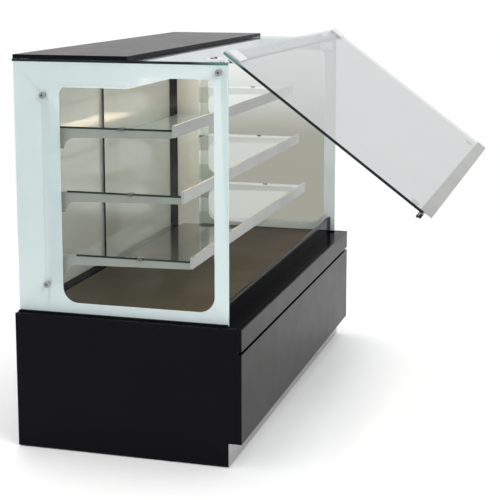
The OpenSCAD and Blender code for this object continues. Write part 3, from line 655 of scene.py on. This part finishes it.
def make_screw_heads():
    """Screws of the roof clamps face up, the others on the cabinet face the rear"""
    # The screw sockets are painted near-black as shade
    finishes = [materials["screw_steel"], painted_socket_shade]
    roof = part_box("roof_glass")[1][2]
    head = socket_disc(radius=3.2, height=0.5, socket=1.5)
    mesh = bmesh.new()
    for points in islands("cabinet_screws"):
        axis = (0, 0, 1) if tip(points, (0, 0, 1)).z > roof else (0, 1, 0)
        turned(mesh, head, tip(points, axis), axis, SOCKET_RING, 36)
    make_piece("cabinet_screw_heads", mesh, finishes, "cabinet")
    inward = door_inward()
    head = socket_disc(radius=4.6, height=0.8, socket=2.2)
    mesh = bmesh.new()
    for points in islands("door_screws"):
        turned(mesh, head, tip(points, inward), inward, SOCKET_RING, 36)
    make_piece("door_screw_heads", mesh, finishes, "front_door")


def make_pin_ends():
    mesh = bmesh.new()
    for points in islands("hinge_pins"):
        for axis in BOTH_WAYS:
            turned(mesh, PIN_END, tip(points, axis), axis)
    make_piece("hinge_pin_ends", mesh, [materials["chrome"]], "cabinet")


def make_fascia_caps():
    """Plugs that close the ends of the rail tubes"""
    mesh = bmesh.new()
    for level in ("top", "middle", "lower"):
        low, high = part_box("shelf_fascia_" + level)
        y0, y1 = low[1] + PLUG_INSET, high[1] - PLUG_INSET
        z0, z1 = low[2] + PLUG_INSET, high[2] - PLUG_INSET
        cut = PLUG_CORNER
        outline = [(y0 + cut, z0), (y1 - cut, z0), (y1, z0 + cut), (y1, z1 - cut),
                   (y1 - cut, z1), (y0 + cut, z1), (y0, z1 - cut), (y0, z0 + cut)]
        for x in (low[0], high[0] - PLUG_DEPTH):
            extruded(mesh, outline, x, x + PLUG_DEPTH)
    make_piece("fascia_end_caps", mesh, [materials["satin_aluminium"]], "cabinet")


make_fixing_caps()
make_screw_heads()
make_pin_ends()
make_fascia_caps()
eased("door_buffers", 0.8 * MM)


# ---------- rear service panel ----------

LOUVRE_SPAN = (0.20, 0.26)
# In millimetres: how far a louvre's hood stands out and hangs down, its sheet, and its rise over the slot
HOOD_REACH = 4.5
HOOD_DROP = 9.0
HOOD_SHEET = 0.9
HOOD_RISE = 2.5
HOOD_STEPS = 8
# Distance in millimetres inward from the slot's end, and share of the full bulge there
HOOD_ENDS = ((-5, 0.05), (-2, 0.45), (1, 0.8), (5, 1.0))


def slot_tops():
    """(x0, x1, z) of the upper wall of each louvre slot, which faces down"""
    mesh = cad_bmesh("rear_panel")
    walls = []
    for face in mesh.faces:
        xs = [corner.co.x for corner in face.verts]
        if face.normal.z < -0.99 and LOUVRE_SPAN[0] < max(xs) - min(xs) < LOUVRE_SPAN[1]:
            walls.append((min(xs), max(xs), face.verts[0].co.z))
    mesh.free()
    return walls


def hood_ring(x, y, z, bulge):
    """Section of a pressed louvre hood that hangs from height z over its slot"""
    outer, inner = [], []
    for i in range(HOOD_STEPS + 1):
        angle = math.pi / 2 * i / HOOD_STEPS
        drop = HOOD_DROP * (1 - math.cos(angle))
        reach = HOOD_REACH * bulge * math.sin(angle)
        outer.append(Vector((x, y + (reach + HOOD_SHEET * bulge) * MM, z - drop * MM)))
        inner.append(Vector((x, y + (reach - 0.1) * MM, z - (drop + 0.3) * MM)))
    return outer + inner[::-1]


def make_louvres():
    """A pressed hood over each louvre slot"""
    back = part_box("rear_panel")[1][1]
    mesh = bmesh.new()
    for x0, x1, z in slot_tops():
        start = [(x0 + inward * MM, bulge) for inward, bulge in HOOD_ENDS]
        end = [(x0 + x1 - x, bulge) for x, bulge in reversed(start)]
        lofted(mesh, [hood_ring(x, back, z + HOOD_RISE * MM, bulge) for x, bulge in start + end])
    make_piece("louvre_hoods", mesh, [materials["black_sheet"]], "cabinet", 50)


make_louvres()


# ---------- marks on the controls ----------

# The segments, a to g, that each digit lights
SEGMENTS = {"0": "abcdef", "3": "abcdg", "5": "acdfg", "6": "acdefg", "9": "abcdfg"}
# Sizes in millimetres, angles in degrees
MARK_RISE = 0.15
DIAL_SWEEP = 270
DIAL_NUMBERS = ("0", "30", "60", "90")
DIAL_STEPS = 18
STEPS_PER_NUMBER = 6
DIAL_RADIUS = 24
NUMBER_RADIUS = 36
NUMBER_HEIGHT = 6.0
LONG_MARK = 5.0
SHORT_MARK = 2.6
MARK_WIDTH = 0.8
POINTER_RISE = 1.0
DISPLAY_TEXT = "65"
DISPLAY_DEPTH = 0.8
DISPLAY_HEIGHT = 15.0
DISPLAY_STROKE = 1.9
# A rocker's faces: their distance from the pivot at the middle, how far they rise from there to
# their end, and half their height
ROCKER_WAIST = 6.8
ROCKER_RISE = 1.6
ROCKER_HALF = 11.3
ROCKER_MARK_PLACE = 6.0
ROCKER_MARK_SINK = 0.03
ROCKER_BAR_WIDTH = 1.0
RING_RADIUS = 2.3
RING_WIDTH = 0.9
RING_SINK = 0.05
RING_SEGMENTS = 32


def bar(mesh, centre, along, across, out, length, width):
    """A thin bar with pointed ends that stands on a face"""
    half, wide, taper = length / 2, width / 2, min(width / 2, length / 2)
    outline = [(-half, 0), (-half + taper, -wide), (half - taper, -wide), (half, 0), (half - taper, wide),
               (-half + taper, wide)]
    low = [Vector(centre) + along * (a * MM) + across * (b * MM) for a, b in outline]
    lofted(mesh, [low, [point + out * (MARK_RISE * MM) for point in low]])


def digits(mesh, text, centre, right, up, out, height, weight):
    """Seven-segment digits, centred on a point. Each segment has a place across and up, and lies flat
    or stands."""
    wide = height * 0.52
    pitch = height * 0.78
    half = height / 2
    places = {"a": (0, half, True), "g": (0, 0, True), "d": (0, -half, True),
              "b": (wide / 2, half / 2, False), "c": (wide / 2, -half / 2, False),
              "f": (-wide / 2, half / 2, False), "e": (-wide / 2, -half / 2, False)}
    for index, digit in enumerate(text):
        shift = (index - (len(text) - 1) / 2) * pitch
        for name in SEGMENTS[digit]:
            across, level, flat = places[name]
            spot = Vector(centre) + right * ((shift + across) * MM) + up * (level * MM)
            along = right if flat else up
            bar(mesh, spot, along, along.cross(out), out, wide if flat else half, weight)


def make_panel_marks():
    """The knob's white pointer, the dial around it and the display's digits, as seen from the rear"""
    right, up, out = Vector((-1, 0, 0)), Vector((0, 0, 1)), Vector((0, 1, 0))
    low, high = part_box("thermostat_knob")
    knob_face = high[1] - POINTER_RISE * MM
    paint("thermostat_knob", mark_white, lambda face: face.center.y > knob_face + 0.05 * MM)
    dial = Vector(((low[0] + high[0]) / 2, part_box("control_plate")[1][1], (low[2] + high[2]) / 2))
    mesh = bmesh.new()
    for i in range(DIAL_STEPS + 1):
        angle = math.radians(DIAL_SWEEP * i / DIAL_STEPS)
        ray = right * math.sin(angle) + up * math.cos(angle)
        length = SHORT_MARK if i % STEPS_PER_NUMBER else LONG_MARK
        place = dial + ray * ((DIAL_RADIUS + length / 2) * MM)
        bar(mesh, place, ray, ray.cross(out), out, length, MARK_WIDTH)
    for i, text in enumerate(DIAL_NUMBERS):
        angle = math.radians(DIAL_SWEEP * i / (len(DIAL_NUMBERS) - 1))
        ray = right * math.sin(angle) + up * math.cos(angle)
        place = dial + ray * (NUMBER_RADIUS * MM)
        digits(mesh, text, place, right, up, out, NUMBER_HEIGHT, MARK_WIDTH)
    make_piece("dial_marks", mesh, [mark_black], "cabinet")
    low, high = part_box("temperature_display")
    window = Vector(((low[0] + high[0]) / 2, high[1] - DISPLAY_DEPTH * MM, (low[2] + high[2]) / 2))
    mesh = bmesh.new()
    digits(mesh, DISPLAY_TEXT, window, right, up, out, DISPLAY_HEIGHT, DISPLAY_STROKE)
    make_piece("display_digits", mesh, [digit_glow], "cabinet")


def ring_mark(mesh, centre, right, up, out):
    """A raised ring on a face"""
    inner = RING_RADIUS - RING_WIDTH
    profile = [(RING_RADIUS, -RING_SINK), (RING_RADIUS, MARK_RISE), (inner, MARK_RISE), (inner, -RING_SINK)]
    rings = []
    for i in range(RING_SEGMENTS):
        angle = 2 * math.pi * i / RING_SEGMENTS
        ray = right * math.cos(angle) + up * math.sin(angle)
        rings.append([mesh.verts.new(Vector(centre) + ray * (r * MM) + out * (h * MM)) for r, h in profile])
    for first, second in zip(rings, rings[1:] + rings[:1]):
        for k in range(4):
            m = (k + 1) % 4
            mesh.faces.new((first[k], second[k], second[m], first[m]))
    bmesh.ops.recalc_face_normals(mesh, faces=mesh.faces)


def make_rocker_marks():
    """A bar on the upper half of each rocker, and a ring on the lower half"""
    joints = {joint["child"]: joint for joint in frame["joints"]}
    for body, node in (("power_switch", "power_rocker"), ("light_switch", "light_rocker")):
        low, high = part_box(node)
        tilt = Matrix.Rotation(-math.radians(joints[body]["range_deg"][1]) / 2, 3, "X")
        right, up, out = Vector((-1, 0, 0)), tilt @ Vector((0, 0, 1)), tilt @ Vector((0, 1, 0))
        pivot = Vector(((low[0] + high[0]) / 2, joints[body]["pos_m"][1], joints[body]["pos_m"][2]))
        slope = math.atan2(ROCKER_RISE, ROCKER_HALF)
        mesh = bmesh.new()
        for side in (1, -1):
            lean = Matrix.Rotation(-side * slope, 3, "X")
            face_up, face_out = tilt @ lean @ Vector((0, 0, 1)), tilt @ lean @ Vector((0, 1, 0))
            reach = ROCKER_WAIST + ROCKER_RISE * ROCKER_MARK_PLACE / ROCKER_HALF - ROCKER_MARK_SINK
            spot = pivot + out * (reach * MM) + up * (side * ROCKER_MARK_PLACE * MM)
            if side > 0:
                bar(mesh, spot, face_up, right, face_out, LONG_MARK, ROCKER_BAR_WIDTH)
            else:
                ring_mark(mesh, spot, right, face_up, face_out)
        ink = mark_white if node == "power_rocker" else mark_black
        make_piece(node + "_marks", mesh, [ink], body)


make_panel_marks()
make_rocker_marks()


# ---------- floor ----------

def make_floor():
    mesh = bmesh.new()
    bmesh.ops.create_circle(mesh, cap_ends=True, segments=128, radius=FLOOR_RADIUS)
    data = bpy.data.meshes.new("floor")
    mesh.to_mesh(data)
    mesh.free()
    data.materials.append(opaque("floor", (0.93, 0.93, 0.93), (0.95, 0.95, 0.95), (0.5, 0.6), 60.0, 0.02,
                                 patch=0.6, Specular_IOR_Level=0.2))
    floor = bpy.data.objects.new("floor", data)
    bpy.context.scene.collection.objects.link(floor)


make_floor()
bpy.context.scene.view_settings.view_transform = "Standard"
